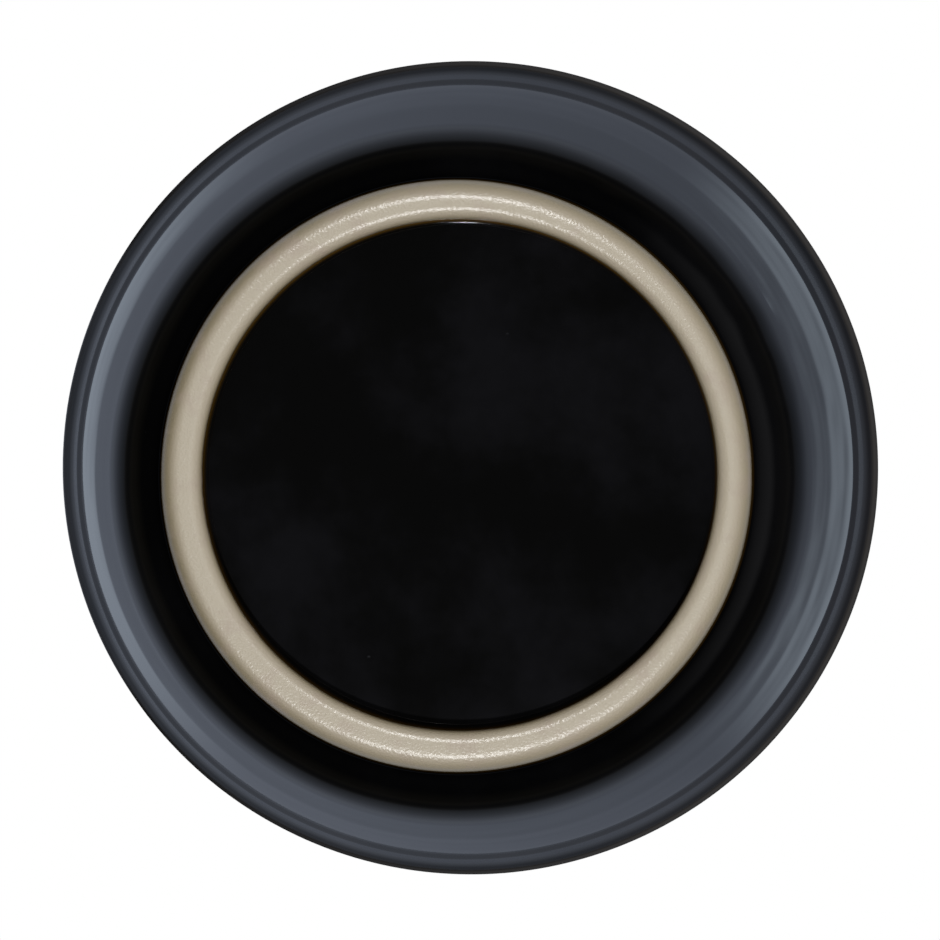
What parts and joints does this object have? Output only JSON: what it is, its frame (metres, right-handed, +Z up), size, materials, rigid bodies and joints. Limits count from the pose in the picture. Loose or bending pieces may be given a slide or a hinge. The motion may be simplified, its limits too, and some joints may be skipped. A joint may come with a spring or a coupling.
{
  "type": "ramekin",
  "caption": "Round flared stoneware ramekin with a glazed body, a rounded collar at the rim and a bare foot ring round a glazed recess.",
  "frame": {"origin": "centre of the circle on which the foot ring stands, at table height", "axes": "+Z up along the axis the dish is turned about, out of its mouth; +X and +Y are any two directions square to it"},
  "size_m": [0.1, 0.1, 0.044],
  "materials": {
    "bare_stoneware": "bare fired stoneware, fine grain, wiped smooth",
    "recess_glaze": "black gloss glaze",
    "wall_glaze": "blue-black gloss glaze",
    "rim_glaze": "charcoal glaze, a little duller than the wall",
    "inside_glaze": "black gloss glaze"
  },
  "bodies": {
    "root": {"stoneware_body": "bare_stoneware", "recess_glaze": "recess_glaze", "wall_glaze": "wall_glaze", "rim_glaze": "rim_glaze", "inside_glaze": "inside_glaze"}
  },
  "joints": []
}
